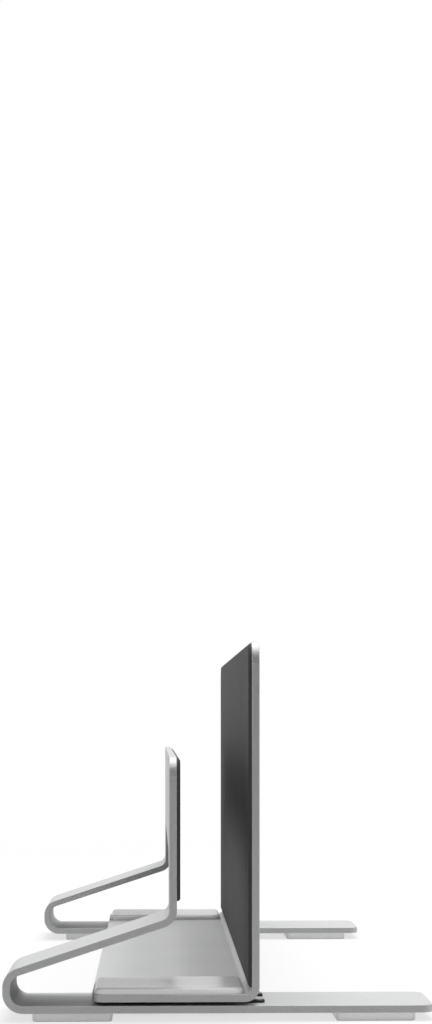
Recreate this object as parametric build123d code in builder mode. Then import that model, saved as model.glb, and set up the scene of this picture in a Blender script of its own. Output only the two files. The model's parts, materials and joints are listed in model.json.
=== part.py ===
"""Vertical laptop stand: a folded sheet base on two legs, with a wall that slides to set the slot."""

import os
from math import radians, tan

from build123d import *

# Frame, in millimetres: +X runs along the base strips to their free ends, +Y runs to the back, +Z is up.
# The origin is on the table, under the middle of the stand.

# Sheet metal
sheet = 1.75
edge_break = 0.1

# Footprint
stand_width = 99.0
stand_depth = 215.0
leg_width = 25.2

# Base frame: strip, U fold, sloping arm, knee and fixed wall; arm_level is the height where the arm's upper
# skin would meet the upright side of the fold
fold_radius = 2.95
arm_level = 11.25
arm_angle = 18.2
arm_run = 38.15
knee_radius = 2.2
fixed_wall_top = 60.6
window_top = 37.5
window_corner = 11.0
strip_corner = 3.0
fixed_wall_corner = 4.5

# Carriage: deck and moving wall
wall_gap = 17.2
deck_reach = 36.7
bend_radius = 1.6
moving_wall_top = 87.2
deck_corner = 3.0
moving_wall_corner = 5.0
travel_in = 9.0
travel_out = 16.0

# Pads, all stuck on
pad_margin = 0.5
pad_corner = 2.5
pad_bevel = 0.4
rest_round = 1.2
foot_thickness = 1.9
foot_length = 18.3
foot_corner = 1.2
foot_bevel = 0.2
foot_fold_inset = 6.8
foot_end_inset = 4.2
glide_thickness = 0.8
glide_width = 15.2
glide_overhang = 1.5
glide_corner = 1.0
glide_bevel = 0.25
glide_slot_width = 8.6
rest_thickness = 1.45
grip_thickness = 0.8
grip_rise = 2.2

# Clamp screws, washers and flush nuts
screw_setback = 17.4
screw_diameter = 4.0
screw_head_diameter = 7.0
screw_head_height = 0.8
screw_bevel = 0.2
socket_flats = 2.5
socket_depth = 1.2
washer_diameter = 9.0
washer_thickness = 0.3
nut_flats = 8.0
thread_clearance = 0.1
slot_clearance = 0.3

# Levels, from the table up
strip_bottom = foot_thickness
strip_top = strip_bottom + sheet
deck_bottom = strip_top + glide_thickness
deck_top = deck_bottom + sheet

# Stations along X
fold_x = -stand_width / 2
strip_end_x = stand_width / 2
fixed_outer_x = fold_x + arm_run
fixed_inner_x = fixed_outer_x + sheet
moving_inner_x = fixed_inner_x + wall_gap
moving_outer_x = moving_inner_x + sheet
deck_end_x = moving_inner_x - deck_reach
deck_flat_x = moving_inner_x - bend_radius
screw_x = moving_inner_x - screw_setback

# Stations along Y
half_depth = stand_depth / 2
window_half = half_depth - leg_width
leg_y = half_depth - leg_width / 2
leg_places = {"near": -leg_y, "far": leg_y}

# Fold geometry: the outer skin of the base turns at three corners, two in the U fold and one at the knee
slope = radians(arm_angle)
fold_outer_radius = fold_radius + sheet
knee_corner_z = arm_level + arm_run * tan(slope)
knee_end_z = knee_corner_z + knee_radius * tan((radians(90) - slope) / 2)

# Slots that the screws run in
slot_width = screw_diameter + 2 * slot_clearance
slot_middle_x = screw_x + (travel_out - travel_in) / 2
slot_travel = travel_in + travel_out

os.makedirs("parts", exist_ok=True)


def write(builder, name):
    """Label a finished piece and write it as the node of that name."""
    builder.part.label = name
    export_step(builder.part, f"parts/{name}.step")


def outline_edges(part):
    """Edges where a skin of the sheet meets its cut sides, without those that run through the sheet."""
    cut_sides = part.faces().filter_by(Axis.Y)
    return cut_sides.edges().filter_by(lambda edge: edge.length > sheet + edge_break)


# Base frame: one sheet, cut to two legs below the window and bent at the U folds and the knees
with BuildPart() as base_frame:
    with BuildSketch(Plane.XZ):
        with BuildLine():
            base_skin = FilletPolyline(
                (strip_end_x, strip_bottom),
                (fold_x, strip_bottom),
                (fold_x, arm_level),
                (fixed_outer_x, knee_corner_z),
                (fixed_outer_x, fixed_wall_top),
                radius=[fold_outer_radius, fold_outer_radius, knee_radius],
            )
            offset(base_skin, amount=sheet, side=Side.RIGHT)
        make_face()
    extrude(amount=half_depth, both=True)
    with BuildSketch(Plane.YZ) as window:
        Rectangle(2 * window_half, 2 * window_top)
        fillet(window.vertices().group_by(Axis.Y)[-1], window_corner)
    extrude(amount=stand_width, both=True, mode=Mode.SUBTRACT)
    with BuildSketch(Plane.XY.offset(strip_bottom)):
        with Locations((slot_middle_x, -leg_y), (slot_middle_x, leg_y)):
            SlotCenterToCenter(slot_travel, slot_width)
    extrude(amount=sheet, mode=Mode.SUBTRACT)
    fillet(base_frame.edges().filter_by(Axis.Z).group_by(Axis.X)[-1], strip_corner)
    fillet(base_frame.edges().filter_by(Axis.X).group_by(Axis.Z)[-1], fixed_wall_corner)
    chamfer(outline_edges(base_frame), edge_break)
write(base_frame, "base_frame")

# Carriage: one sheet folded once, a deck that lies over the strips and the moving wall
with BuildPart() as carriage:
    with BuildSketch(Plane.XZ):
        with BuildLine():
            carriage_skin = FilletPolyline(
                (deck_end_x, deck_bottom),
                (moving_outer_x, deck_bottom),
                (moving_outer_x, moving_wall_top),
                radius=bend_radius + sheet,
            )
            offset(carriage_skin, amount=sheet, side=Side.LEFT)
        make_face()
    extrude(amount=half_depth, both=True)
    with BuildSketch(Plane.XY.offset(deck_bottom)):
        with Locations((screw_x, -leg_y), (screw_x, leg_y)):
            RegularPolygon(nut_flats / 2, 6, major_radius=False)
    extrude(amount=sheet, mode=Mode.SUBTRACT)
    fillet(carriage.edges().filter_by(Axis.Z).group_by(Axis.X)[0], deck_corner)
    fillet(carriage.edges().filter_by(Axis.X).group_by(Axis.Z)[-1], moving_wall_corner)
    chamfer(outline_edges(carriage), edge_break)
write(carriage, "carriage")

# Fixed grip pad: on the inner face of the fixed wall, round the window
grip_bottom = knee_end_z + grip_rise
grip_half = half_depth - pad_margin
fixed_grip_top = fixed_wall_top - pad_margin
with BuildPart() as fixed_grip_pad:
    with BuildSketch(Plane.YZ.offset(fixed_inner_x)) as fixed_grip_outline:
        with Locations((0, (grip_bottom + fixed_grip_top) / 2)):
            Rectangle(2 * grip_half, fixed_grip_top - grip_bottom)
        fillet(fixed_grip_outline.vertices().group_by(Axis.Y)[-1], fixed_wall_corner - pad_margin)
        with BuildSketch(mode=Mode.SUBTRACT) as grip_window:
            Rectangle(2 * (window_half + pad_margin), 2 * (window_top + pad_margin))
            fillet(grip_window.vertices().group_by(Axis.Y)[-1], window_corner + pad_margin)
    extrude(amount=grip_thickness)
    chamfer(fixed_grip_pad.faces().sort_by(Axis.X)[-1].edges(), pad_bevel)
write(fixed_grip_pad, "fixed_grip_pad")

# Moving grip pad: on the inner face of the moving wall, down to its bend
moving_grip_bottom = deck_top + bend_radius
moving_grip_top = moving_wall_top - pad_margin
with BuildPart() as moving_grip_pad:
    with BuildSketch(Plane.YZ.offset(moving_inner_x)) as moving_grip_outline:
        with Locations((0, (moving_grip_bottom + moving_grip_top) / 2)):
            Rectangle(2 * grip_half, moving_grip_top - moving_grip_bottom)
        fillet(moving_grip_outline.vertices().group_by(Axis.Y)[-1], moving_wall_corner - pad_margin)
    extrude(amount=-grip_thickness)
    chamfer(moving_grip_pad.faces().sort_by(Axis.X)[0].edges(), pad_bevel)
write(moving_grip_pad, "moving_grip_pad")

# Rest pads on the deck over each leg, glides on the strips under it, open towards the free ends, and feet
deck_pad_left_x = deck_end_x + pad_margin
deck_pad_length = deck_flat_x - deck_pad_left_x
deck_pad_x = deck_pad_left_x + deck_pad_length / 2
glide_length = moving_outer_x + glide_overhang - deck_pad_left_x
glide_x = deck_pad_left_x + glide_length / 2
leg_pad_width = leg_width - 2 * pad_margin
foot_places = {
    "fold": fold_x + foot_fold_inset + foot_length / 2,
    "end": strip_end_x - foot_end_inset - foot_length / 2,
}

for side, place_y in leg_places.items():
    with BuildPart() as rest_pad:
        with BuildSketch(Plane((deck_pad_x, place_y, deck_top))):
            RectangleRounded(deck_pad_length, leg_pad_width, pad_corner)
        extrude(amount=rest_thickness)
        fillet(rest_pad.faces().sort_by(Axis.Z)[-1].edges(), rest_round)
    write(rest_pad, f"{side}_rest_pad")

    with BuildPart() as glide_strip:
        with BuildSketch(Plane((glide_x, place_y, strip_top))):
            RectangleRounded(glide_length, glide_width, glide_corner)
            with Locations((slot_middle_x - slot_travel / 2 - glide_x, 0)):
                Circle(glide_slot_width / 2, mode=Mode.SUBTRACT)
                Rectangle(
                    glide_length,
                    glide_slot_width,
                    align=(Align.MIN, Align.CENTER),
                    mode=Mode.SUBTRACT,
                )
        extrude(amount=glide_thickness)
        chamfer(glide_strip.faces().sort_by(Axis.Z)[-1].edges(), glide_bevel)
    write(glide_strip, f"{side}_glide_strip")

    for station, place_x in foot_places.items():
        with BuildPart() as foot:
            with BuildSketch(Plane((place_x, place_y, 0))):
                RectangleRounded(foot_length, leg_pad_width, foot_corner)
            extrude(amount=foot_thickness)
            chamfer(foot.faces().sort_by(Axis.Z)[0].edges(), foot_bevel)
        write(foot, f"{side}_{station}_foot")

# Clamp on each leg: a thin-headed screw from below, its washer, and a flush nut pressed into the deck
washer_bottom = strip_bottom - washer_thickness
head_bottom = washer_bottom - screw_head_height
for side, place_y in leg_places.items():
    with BuildPart() as clamp_screw:
        with BuildSketch(Plane((screw_x, place_y, head_bottom))):
            Circle(screw_head_diameter / 2)
        extrude(amount=screw_head_height)
        chamfer(clamp_screw.edges().sort_by(Axis.Z)[0], screw_bevel)
        with BuildSketch(Plane((screw_x, place_y, washer_bottom))):
            Circle(screw_diameter / 2)
        extrude(amount=deck_top - washer_bottom)
        with BuildSketch(Plane((screw_x, place_y, head_bottom))):
            RegularPolygon(socket_flats / 2, 6, major_radius=False)
        extrude(amount=socket_depth, mode=Mode.SUBTRACT)
    write(clamp_screw, f"{side}_clamp_screw")

    with BuildPart() as clamp_washer:
        with BuildSketch(Plane((screw_x, place_y, washer_bottom))):
            Circle(washer_diameter / 2)
            Circle(slot_width / 2, mode=Mode.SUBTRACT)
        extrude(amount=washer_thickness)
    write(clamp_washer, f"{side}_clamp_washer")

    with BuildPart() as clamp_nut:
        with BuildSketch(Plane((screw_x, place_y, deck_bottom))):
            RegularPolygon(nut_flats / 2, 6, major_radius=False)
            Circle(screw_diameter / 2 + thread_clearance, mode=Mode.SUBTRACT)
        extrude(amount=sheet)
    write(clamp_nut, f"{side}_clamp_nut")
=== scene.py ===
"""Vertical laptop stand: finishes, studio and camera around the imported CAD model, in metres."""

import json
import math

import bpy
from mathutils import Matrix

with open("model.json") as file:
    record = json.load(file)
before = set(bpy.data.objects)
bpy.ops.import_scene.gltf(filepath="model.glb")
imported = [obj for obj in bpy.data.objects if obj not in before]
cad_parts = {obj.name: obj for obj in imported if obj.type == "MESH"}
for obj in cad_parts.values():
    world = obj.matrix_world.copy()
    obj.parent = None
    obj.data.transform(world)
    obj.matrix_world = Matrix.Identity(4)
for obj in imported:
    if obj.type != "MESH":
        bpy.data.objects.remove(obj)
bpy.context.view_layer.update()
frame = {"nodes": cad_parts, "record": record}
nodes = frame["nodes"]

# Photograph: its size in pixels, the point that lines along the slot run to, and the lens in pixels
FRAME_WIDTH = 432
FRAME_HEIGHT = 1024
VANISHING_X = 155.5
VANISHING_Y = 722.5
FOCAL_PIXELS = 2189.0

# Camera: its sensor in millimetres, and its place
SENSOR = 36.0
EYE = (-0.0145, -0.6085, 0.0685)

# Even light from all round
WHITE = (1.0, 1.0, 1.0, 1.0)
AMBIENT = 0.5

# Floor: its veil of white near the object grows to plain white between the two distances
FLOOR_HALF = 12.0
FLOOR_GREY = 0.95
FLOOR_VEIL = 0.62
FLOOR_FADE_START = 0.16
FLOOR_FADE_END = 0.8

# Softbox over the stand
SOFTBOX_SIZE = 0.9
SOFTBOX_PLACE = (0.07, 0.15, 1.2)
SOFTBOX_WATTS = 10.5

# Dark flag behind the camera, which shows in reflections alone
FLAG_PLACE_Y = -1.1
FLAG_HALF_WIDTH = 2.0
FLAG_HEIGHT = 2.2
FLAG_GREY = 0.04

# Range that most noise values lie in
NOISE_LOW = 0.3
NOISE_HIGH = 0.7

# Turning marks on the clamp screws: where they are centred on each leg, and their pitch
SCREW_X = -0.0098
LEG_Y = 0.0949
RING_PITCH = 0.00022


class Shader:
    """A material with one Principled shader, and short calls for the nodes that feed it."""

    def __init__(self, name):
        self.material = bpy.data.materials.new(name)
        self.material.use_nodes = True
        self.tree = self.material.node_tree
        self.principled = self.tree.nodes["Principled BSDF"]
        self.place = self.tree.nodes.new("ShaderNodeTexCoord").outputs["Object"]

    def plain(self, **values):
        """Set sockets that are the same all over the surface."""
        for name, value in values.items():
            self.principled.inputs[name.replace("_", " ")].default_value = value

    def feed(self, name, socket):
        """Link a node's output to a socket of the shader."""
        self.tree.links.new(socket, self.principled.inputs[name])

    def calc(self, operation, *values):
        """One Math node; each value is a socket or a number."""
        node = self.tree.nodes.new("ShaderNodeMath")
        node.operation = operation
        for slot, value in zip(node.inputs, values):
            if isinstance(value, bpy.types.NodeSocket):
                self.tree.links.new(value, slot)
            else:
                slot.default_value = value
        return node.outputs["Value"]

    def noise(self, size, detail=2.0, roughness=0.5, stretch=(1.0, 1.0, 1.0)):
        """Noise from 0 to 1, whose features are about size metres across before they are stretched."""
        mapping = self.tree.nodes.new("ShaderNodeMapping")
        mapping.inputs["Scale"].default_value = [1.0 / (size * factor) for factor in stretch]
        self.tree.links.new(self.place, mapping.inputs["Vector"])
        noise = self.tree.nodes.new("ShaderNodeTexNoise")
        noise.inputs["Scale"].default_value = 1.0
        noise.inputs["Detail"].default_value = detail
        noise.inputs["Roughness"].default_value = roughness
        self.tree.links.new(mapping.outputs["Vector"], noise.inputs["Vector"])
        return noise.outputs["Fac"]

    def mix(self, first, second, share):
        """Weighted sum of two values, with this share of the first."""
        return self.calc(
            "ADD",
            self.calc("MULTIPLY", first, share),
            self.calc("MULTIPLY", second, 1.0 - share),
        )

    def span(self, value, low, high):
        """Map the range of a noise value to low and high."""
        node = self.tree.nodes.new("ShaderNodeMapRange")
        node.inputs["From Min"].default_value = NOISE_LOW
        node.inputs["From Max"].default_value = NOISE_HIGH
        node.inputs["To Min"].default_value = low
        node.inputs["To Max"].default_value = high
        self.tree.links.new(value, node.inputs["Value"])
        return node.outputs["Result"]

    def colour(self, value, dark, light):
        """Base colour from dark to light, by a noise value."""
        node = self.tree.nodes.new("ShaderNodeMix")
        node.data_type = "RGBA"
        node.inputs["A"].default_value = (*dark, 1.0)
        node.inputs["B"].default_value = (*light, 1.0)
        self.tree.links.new(self.span(value, 0.0, 1.0), node.inputs["Factor"])
        self.feed("Base Color", node.outputs["Result"])

    def roughness(self, value, low, high):
        """Roughness from low to high, by a noise value."""
        self.feed("Roughness", self.span(value, low, high))

    def bump(self, height, depth):
        """Bump from a height of 0 to 1, depth metres deep."""
        node = self.tree.nodes.new("ShaderNodeBump")
        node.inputs["Distance"].default_value = depth
        self.tree.links.new(height, node.inputs["Height"])
        self.feed("Normal", node.outputs["Normal"])


def blasted_aluminium():
    """Fine bead-blasted sheet, clear anodised: even satin grey with a tight grain."""
    shader = Shader("blasted_aluminium")
    shader.plain(Metallic=1.0)
    grain = shader.noise(size=0.00045, detail=3.0, roughness=0.6)
    cloud = shader.noise(size=0.03)
    tone = shader.mix(grain, cloud, share=0.65)
    shader.colour(tone, dark=(0.51, 0.513, 0.516), light=(0.63, 0.633, 0.636))
    shader.roughness(tone, low=0.58, high=0.70)
    shader.bump(grain, depth=0.00007)
    return shader.material


def grip_rubber():
    """Matt charcoal rubber sheet with a pebbled face and a faint bloom."""
    shader = Shader("grip_rubber")
    shader.plain(Specular_IOR_Level=0.3)
    pebble = shader.noise(size=0.0006, detail=3.0, roughness=0.65)
    bloom = shader.noise(size=0.018, detail=3.0)
    tone = shader.mix(pebble, bloom, share=0.6)
    shader.colour(tone, dark=(0.030, 0.030, 0.032), light=(0.055, 0.055, 0.058))
    shader.roughness(pebble, low=0.62, high=0.82)
    shader.bump(pebble, depth=0.00008)
    return shader.material


def soft_silicone():
    """Light grey moulded silicone: satin, with a fine skin and a little dust."""
    shader = Shader("soft_silicone")
    shader.plain(Specular_IOR_Level=0.35)
    skin = shader.noise(size=0.0005)
    dust = shader.noise(size=0.009, detail=4.0, roughness=0.6)
    tone = shader.mix(skin, dust, share=0.5)
    shader.colour(tone, dark=(0.75, 0.75, 0.75), light=(0.83, 0.83, 0.83))
    shader.roughness(skin, low=0.17, high=0.27)
    shader.bump(skin, depth=0.000012)
    return shader.material


def glide_film():
    """Smooth black plastic film, scuffed along the way that the deck slides."""
    shader = Shader("glide_film")
    shader.plain(Specular_IOR_Level=0.4)
    scuff = shader.noise(size=0.0006, detail=3.0, stretch=(30.0, 1.0, 1.0))
    shader.colour(scuff, dark=(0.010, 0.010, 0.011), light=(0.022, 0.022, 0.023))
    shader.roughness(scuff, low=0.16, high=0.26)
    shader.bump(scuff, depth=0.00002)
    return shader.material


def turned_steel():
    """Zinc-plated steel with the rings of the lathe round each screw's axis."""
    shader = Shader("turned_steel")
    shader.plain(Metallic=1.0)
    split = shader.tree.nodes.new("ShaderNodeSeparateXYZ")
    shader.tree.links.new(shader.place, split.inputs["Vector"])
    across = shader.calc("SUBTRACT", split.outputs["X"], SCREW_X)
    along = shader.calc("SUBTRACT", shader.calc("ABSOLUTE", split.outputs["Y"]), LEG_Y)
    squares = [shader.calc("MULTIPLY", offset, offset) for offset in (across, along)]
    radius = shader.calc("SQRT", shader.calc("ADD", *squares))
    wave = shader.calc("SINE", shader.calc("MULTIPLY", radius, 2.0 * math.pi / RING_PITCH))
    rings = shader.calc("MULTIPLY_ADD", wave, 0.5, 0.5)
    plating = shader.noise(size=0.0012, detail=3.0)
    shader.colour(plating, dark=(0.48, 0.485, 0.49), light=(0.60, 0.60, 0.60))
    shader.roughness(plating, low=0.26, high=0.40)
    shader.bump(rings, depth=0.00001)
    return shader.material


FINISHES = {
    "sheet": blasted_aluminium(),
    "grip": grip_rubber(),
    "soft_pad": soft_silicone(),
    "glide": glide_film(),
    "fastener": turned_steel(),
}
for subpart in frame["record"]["subparts"]:
    piece = nodes[subpart["node"]]
    slot = subpart["material_slot"]
    piece.data.materials.clear()
    piece.data.materials.append(FINISHES[slot])


def emptied_tree(owner):
    """Node tree of a new material or world, without the nodes that it starts with."""
    owner.use_nodes = True
    owner.node_tree.nodes.clear()
    return owner.node_tree


def matt(tree, grey):
    """Matt surface of one grey."""
    surface = tree.nodes.new("ShaderNodeBsdfDiffuse")
    surface.inputs["Color"].default_value = (grey, grey, grey, 1.0)
    return surface.outputs["BSDF"]


def shown_factor(tree):
    """1 for rays from the camera and for those that mirror or pass through, otherwise 0."""
    path = tree.nodes.new("ShaderNodeLightPath")
    total = path.outputs["Is Camera Ray"]
    for name in ("Is Glossy Ray", "Is Transmission Ray"):
        add = tree.nodes.new("ShaderNodeMath")
        add.operation = "ADD"
        add.use_clamp = True
        tree.links.new(total, add.inputs[0])
        tree.links.new(path.outputs[name], add.inputs[1])
        total = add.outputs["Value"]
    return total


def mixed_surface(tree, factor, first, second, output_type):
    """Send two shaders, mixed by a factor, to a new output."""
    mix = tree.nodes.new("ShaderNodeMixShader")
    output = tree.nodes.new(output_type)
    tree.links.new(factor, mix.inputs["Fac"])
    tree.links.new(first, mix.inputs[1])
    tree.links.new(second, mix.inputs[2])
    tree.links.new(mix.outputs["Shader"], output.inputs["Surface"])


def white_world():
    """A white background for the camera and for mirrored rays, over a dimmer even light."""
    world = bpy.data.worlds.new("studio")
    tree = emptied_tree(world)
    light = tree.nodes.new("ShaderNodeBackground")
    light.inputs["Strength"].default_value = AMBIENT
    white = tree.nodes.new("ShaderNodeBackground")
    for background in (light, white):
        background.inputs["Color"].default_value = WHITE
    mixed_surface(
        tree,
        shown_factor(tree),
        light.outputs["Background"],
        white.outputs["Background"],
        "ShaderNodeOutputWorld",
    )
    return world


def floor_material():
    """Pale matt floor that keeps the shadow and fades to the white background away from the object."""
    material = bpy.data.materials.new("pale_floor")
    tree = emptied_tree(material)
    place = tree.nodes.new("ShaderNodeTexCoord")
    distance = tree.nodes.new("ShaderNodeVectorMath")
    distance.operation = "LENGTH"
    tree.links.new(place.outputs["Object"], distance.inputs[0])
    fade = tree.nodes.new("ShaderNodeMapRange")
    fade.interpolation_type = "SMOOTHSTEP"
    fade.inputs["From Min"].default_value = FLOOR_FADE_START
    fade.inputs["From Max"].default_value = FLOOR_FADE_END
    fade.inputs["To Min"].default_value = FLOOR_VEIL
    tree.links.new(distance.outputs["Value"], fade.inputs["Value"])
    factor = tree.nodes.new("ShaderNodeMath")
    factor.operation = "MULTIPLY"
    tree.links.new(fade.outputs["Result"], factor.inputs[0])
    tree.links.new(shown_factor(tree), factor.inputs[1])
    white = tree.nodes.new("ShaderNodeEmission")
    mixed_surface(
        tree,
        factor.outputs["Value"],
        matt(tree, FLOOR_GREY),
        white.outputs["Emission"],
        "ShaderNodeOutputMaterial",
    )
    return material


def flag_material():
    """Dark matt cloth of the flag."""
    material = bpy.data.materials.new("dark_flag")
    tree = emptied_tree(material)
    output = tree.nodes.new("ShaderNodeOutputMaterial")
    tree.links.new(matt(tree, FLAG_GREY), output.inputs["Surface"])
    return material


def stage_plane(name, corners, material):
    """A flat stage piece from its corners."""
    mesh = bpy.data.meshes.new(name)
    mesh.from_pydata(corners, [], [tuple(range(len(corners)))])
    mesh.materials.append(material)
    plane = bpy.data.objects.new(name, mesh)
    scene.collection.objects.link(plane)
    return plane


scene = bpy.context.scene
scene.view_settings.view_transform = "Standard"
scene.world = white_world()

stage_plane(
    "floor",
    [
        (-FLOOR_HALF, -FLOOR_HALF, 0.0),
        (FLOOR_HALF, -FLOOR_HALF, 0.0),
        (FLOOR_HALF, FLOOR_HALF, 0.0),
        (-FLOOR_HALF, FLOOR_HALF, 0.0),
    ],
    floor_material(),
)
flag = stage_plane(
    "flag",
    [
        (-FLAG_HALF_WIDTH, FLAG_PLACE_Y, 0.0),
        (FLAG_HALF_WIDTH, FLAG_PLACE_Y, 0.0),
        (FLAG_HALF_WIDTH, FLAG_PLACE_Y, FLAG_HEIGHT),
        (-FLAG_HALF_WIDTH, FLAG_PLACE_Y, FLAG_HEIGHT),
    ],
    flag_material(),
)
flag.visible_camera = False
flag.visible_diffuse = False

# The softbox faces the origin
softbox_lamp = bpy.data.lights.new("softbox", "AREA")
softbox_lamp.size = SOFTBOX_SIZE
softbox_lamp.energy = SOFTBOX_WATTS
softbox = bpy.data.objects.new("softbox", softbox_lamp)
softbox.location = SOFTBOX_PLACE
softbox.rotation_euler = (-softbox.location).to_track_quat("-Z", "Y").to_euler()
scene.collection.objects.link(softbox)

# The camera is level, turned a little to the right, and its lens is shifted up
camera_data = bpy.data.cameras.new("photo_camera")
camera_data.sensor_width = SENSOR
camera_data.lens = FOCAL_PIXELS / FRAME_HEIGHT * SENSOR
camera_data.shift_y = (VANISHING_Y - FRAME_HEIGHT / 2) / FRAME_HEIGHT
camera = bpy.data.objects.new("photo_camera", camera_data)
camera.location = EYE
yaw = math.atan((FRAME_WIDTH / 2 - VANISHING_X) / FOCAL_PIXELS)
camera.rotation_euler = (math.radians(90), 0.0, -yaw)
scene.collection.objects.link(camera)
scene.camera = camera
